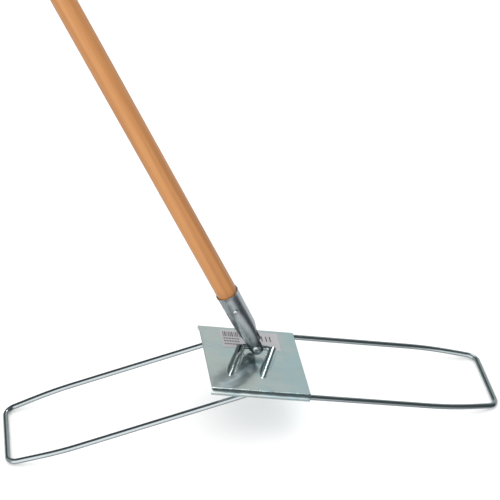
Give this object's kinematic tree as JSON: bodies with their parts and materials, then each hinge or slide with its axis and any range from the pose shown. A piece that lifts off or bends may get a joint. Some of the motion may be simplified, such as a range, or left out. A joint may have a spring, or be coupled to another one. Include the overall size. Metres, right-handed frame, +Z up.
{
  "type": "folding dust mop frame with handle",
  "caption": "Folding wire dust-mop frame: a pressed centre plate with a fixed and a hinged wire loop, a universal joint, a forked sheet-metal ferrule and a long wooden handle.",
  "frame": {"origin": "on the floor, under the middle of the bounding box of the frame standing with its handle leaning left", "axes": "+X along the frame towards the fixed loop, +Y to the back along the hinge and pivot axes, +Z up"},
  "size_m": [0.7987, 0.122, 1.3783],
  "materials": {
    "zinc_plate": "satin bright zinc plating on pressed sheet, with faint rolling marks and light smudges",
    "zinc_wire": "bright zinc plated drawn wire with fine scratches",
    "galvanised_sheet": "dull blue-grey galvanised sheet, pressed, with die marks",
    "bright_rivet": "smooth bright zinc plated rivet and washer steel",
    "varnished_wood": "turned hardwood, orange-brown varnish, satin, grain along the length",
    "paper_label": "plain pinkish-white paper label, matte, edges slightly worn"
  },
  "bodies": {
    "frame": {"center_plate": "zinc_plate", "label": "paper_label", "right_wire_loop": "zinc_wire", "bail_wire": "zinc_wire", "hinge_clip_front": "zinc_plate", "hinge_clip_back": "zinc_plate"},
    "folding_loop": {"left_wire_loop": "zinc_wire"},
    "knuckle": {"knuckle_strap": "galvanised_sheet", "pivot_rivet": "bright_rivet", "pivot_washer_front": "bright_rivet", "pivot_washer_rear": "bright_rivet"},
    "handle": {"ferrule": "galvanised_sheet", "ferrule_rivet": "bright_rivet", "wood_handle": "varnished_wood"}
  },
  "joints": [
    {"name": "loop_fold", "type": "hinge", "parent": "frame", "child": "folding_loop", "pos_m": [0.12179, 0, 0.06714], "axis": [0, 1, 0], "range_deg": [-83.5, 26.5]},
    {"name": "handle_fore_aft", "type": "hinge", "parent": "frame", "child": "knuckle", "pos_m": [0.13179, 0.0106, 0.07918], "axis": [0.9738, 0, -0.2274], "range_deg": [-37, 23]},
    {"name": "handle_side", "type": "hinge", "parent": "knuckle", "child": "handle", "pos_m": [0.13311, 0.0106, 0.08483], "axis": [0, 1, 0], "range_deg": [-24.8, 95.2]}
  ]
}
